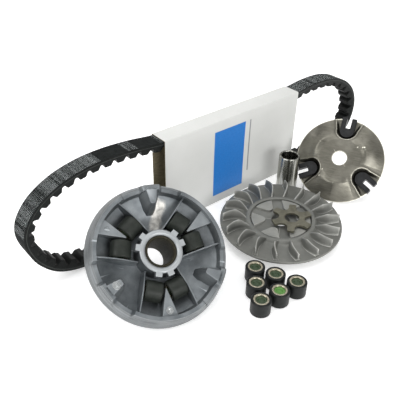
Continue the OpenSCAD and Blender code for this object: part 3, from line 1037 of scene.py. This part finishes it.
def make_star():
    outer = star_outline(STAR_R, STAR_VALLEY, LOBE_HALF_WIDTH, 30)
    n = len(outer)
    hole = []
    for x, y in outer:
        a = math.atan2(y, x)
        hole.append((STAR_HOLE_R * math.cos(a), STAR_HOLE_R * math.sin(a)))
    points = [(x, y, 0) for x, y in outer] + [(x, y, STAR_T) for x, y in outer]
    points += [(x, y, 0) for x, y in hole] + [(x, y, STAR_T) for x, y in hole]
    faces = []
    for i in range(n):
        j = (i + 1) % n
        faces.append((i, j, n + j, n + i))
        faces.append((n + i, n + j, 3 * n + j, 3 * n + i))
        faces.append((2 * n + i, 3 * n + i, 3 * n + j, 2 * n + j))
        faces.append((j, i, 2 * n + i, 2 * n + j))
    matrix = place(FAN_AT, FAN_TURN) @ Matrix.Translation(STAR_AT * MM)
    star = soften(piece("star", points, faces, matrix), 0.3, 2, 35)
    finish_piece(star, "star", "plate_steel", [OLIVE], "star_plate")


make_star()


# ---------------------------------------------------------------- boss sleeve
def make_boss():
    outside = [(9.4, 0.0), (10.0, 0.6), (10.0, 40.4), (9.4, 41.0)]
    inside = [(8.7, 41.0), (8.0, 40.3), (8.0, 0.7)]
    profile = rounded([(8.7, 0.0)] + outside + inside, 0.2)
    boss = piece("boss", *lathe(profile, 128), place(BOSS_AT))
    boss.data.set_sharp_from_angle(angle=math.radians(35))
    finish_piece(boss, "boss", "ground_steel", [GROUND], "boss_sleeve")


make_boss()


# ---------------------------------------------------------------- ramp plate
PLATE_R, PLATE_T, PLATE_BORE, CROWN = 42.1, 2.0, 7.0, 10.0
SHOULDER_FROM, SHOULDER_TO = 19.6, 24.6
SLIDE_R, SLIDE_X, SLIDE_SLOT = 7.0, 29.0, 4.6
POCKET_R, POCKET_FLOOR, ARM_CREASE = 10.2, 0.6, 3.2


def plate_height(r, angle):
    """Upper face of the pressed plate: flat middle, three creased arms, a deep U pocket for each slide."""
    from_pocket = (angle - 90 + 60) % 120 - 60
    slope = (r - SHOULDER_FROM) / (SHOULDER_TO - SHOULDER_FROM)
    if slope < 0:
        height = CROWN
    elif slope < 1:
        height = CROWN - 1.7 * slope
    else:
        height = 8.3 - 8.1 * (r - SHOULDER_TO) / 17.5
    from_arm = 60 - abs(from_pocket)
    rise = smooth_step((r - 19.0) / 7.0) * (1 - 0.55 * smooth_step((r - 30) / 12))
    height += ARM_CREASE * rise * max(0.0, 1 - from_arm / 33)
    x = r * math.cos(math.radians(from_pocket))
    y = r * math.sin(math.radians(from_pocket))
    from_middle = math.hypot(x - SLIDE_X, y) if x < SLIDE_X else abs(y) - 0.3 * (x - SLIDE_X)
    inside = POCKET_R - from_middle
    height += 0.55 * math.exp(-((inside / 1.1) ** 2)) * smooth_step((r - 17) / 4)
    sink = smooth_step((inside - 0.2) / 2.8)
    return height + (min(height, POCKET_FLOOR) - height) * sink


def bake(obj):
    """Works the modifiers into the mesh."""
    bpy.context.view_layer.update()
    graph = bpy.context.evaluated_depsgraph_get()
    mesh = bpy.data.meshes.new_from_object(obj.evaluated_get(graph))
    obj.modifiers.clear()
    obj.data = mesh


def make_plate():
    matrix = place(PLATE_AT, PLATE_TURN)
    radii = [PLATE_BORE, 7.3, 9, 11, 13, 15, 16.5, 17.5]
    radii += [18.2 + 0.5 * k for k in range(47)] + [PLATE_R - 0.2]
    count = 480
    points, faces = [], []
    for k in range(count):
        angle = 360 * k / count
        for r in radii:
            a = math.radians(angle)
            points.append((r * math.cos(a), r * math.sin(a), plate_height(r, angle)))
    n = len(radii)
    for k in range(count):
        m = (k + 1) % count
        faces += [(k * n + i, k * n + i + 1, m * n + i + 1, m * n + i) for i in range(n - 1)]
    plate = piece("plate", points, faces, matrix, closed=False)
    solid = plate.modifiers.new("thickness", "SOLIDIFY")
    solid.thickness = PLATE_T * MM
    solid.offset = -1
    slot = prism([(31.2, -3.4), (50, -3.4), (50, 3.4), (31.2, 3.4)], -20, 20)
    slots = [turned(slot, 90 + 120 * k) for k in range(3)]
    cutter = piece("cutter", *merge(slots), matrix)
    notch = plate.modifiers.new("notch", "BOOLEAN")
    notch.operation = "DIFFERENCE"
    notch.solver = "EXACT"
    notch.object = cutter
    bake(plate)
    bpy.data.objects.remove(cutter)
    plate.data.set_sharp_from_angle(angle=math.radians(50))
    finish_piece(plate, "ramp", "pressed_steel", [PRESSED], "ramp_plate")


make_plate()


def make_slides():
    """U-shaped plastic slides: a half circle towards the bore, straight legs and an open slot."""
    end = PLATE_R - 0.3
    outline = []
    for k in range(17):
        a = math.radians(90 + 11.25 * k)
        outline.append((SLIDE_X + SLIDE_R * math.cos(a), SLIDE_R * math.sin(a)))
    half = SLIDE_SLOT / 2
    outline += [(end, -SLIDE_R), (end, -half), (SLIDE_X + 2.5, -half)]
    outline += [(SLIDE_X + 2.5, half), (end, half), (end, SLIDE_R)]
    for k in range(3):
        matrix = place(PLATE_AT, PLATE_TURN, 90 + 120 * k)
        slide = piece(f"slide_{k + 1}", *prism(outline, -2.5, 5.7), matrix)
        soften(slide, 0.7, 3)
        finish_piece(slide, "ramp", "slide_plastic", [SLIDE], f"ramp_slide_{k + 1}")


make_slides()


# ---------------------------------------------------------------- stage and light
def make_stage():
    size = 6.0
    mesh = bpy.data.meshes.new("floor")
    corners = [(-size, -size, 0), (size, -size, 0), (size, size, 0), (-size, size, 0)]
    mesh.from_pydata(corners, [], [(0, 1, 2, 3)])
    floor = bpy.data.objects.new("floor", mesh)
    bpy.context.scene.collection.objects.link(floor)
    floor.data.materials.append(floor_material())


def soft_box(name, at, aim, size, power):
    data = bpy.data.lights.new(name, "AREA")
    data.shape = "RECTANGLE"
    data.size, data.size_y = size
    data.energy = power
    light = bpy.data.objects.new(name, data)
    bpy.context.scene.collection.objects.link(light)
    direction = Vector(aim) - Vector(at)
    light.matrix_world = Matrix.Translation(at) @ direction.to_track_quat("-Z", "Y").to_matrix().to_4x4()


def make_light():
    """Soft boxes, and a sky that is bright overhead and darker at the sides for the metals to reflect."""
    world = bpy.data.worlds.new("studio")
    bpy.context.scene.world = world
    world.use_nodes = True
    nodes, links = world.node_tree.nodes, world.node_tree.links
    split = nodes.new("ShaderNodeSeparateXYZ")
    links.new(nodes.new("ShaderNodeTexCoord").outputs["Generated"], split.inputs[0])
    ramp = nodes.new("ShaderNodeValToRGB")
    ramp.color_ramp.elements[0].position = 0.1
    ramp.color_ramp.elements[0].color = (0.5, 0.5, 0.5, 1)
    ramp.color_ramp.elements[1].position = 0.75
    ramp.color_ramp.elements[1].color = (0.85, 0.85, 0.85, 1)
    links.new(split.outputs[2], ramp.inputs["Fac"])
    links.new(ramp.outputs["Color"], nodes["Background"].inputs["Color"])
    nodes["Background"].inputs["Strength"].default_value = 0.8
    soft_box("top_box", (0.05, 0.1, 1.3), (0, 0, 0), (1.2, 1.0), 6)
    soft_box("left_box", (-1.1, 0.2, 0.7), (0, 0, 0.03), (0.8, 0.8), 6)
    soft_box("back_box", (0.5, 1.1, 0.6), (0, 0, 0.04), (1.0, 0.5), 4)
    soft_box("front_box", (-0.2, -1.3, 0.45), (0, 0, 0.04), (0.9, 0.5), 10)


make_stage()
make_light()
bpy.context.scene.view_settings.view_transform = "Standard"

bpy.context.view_layer.update()
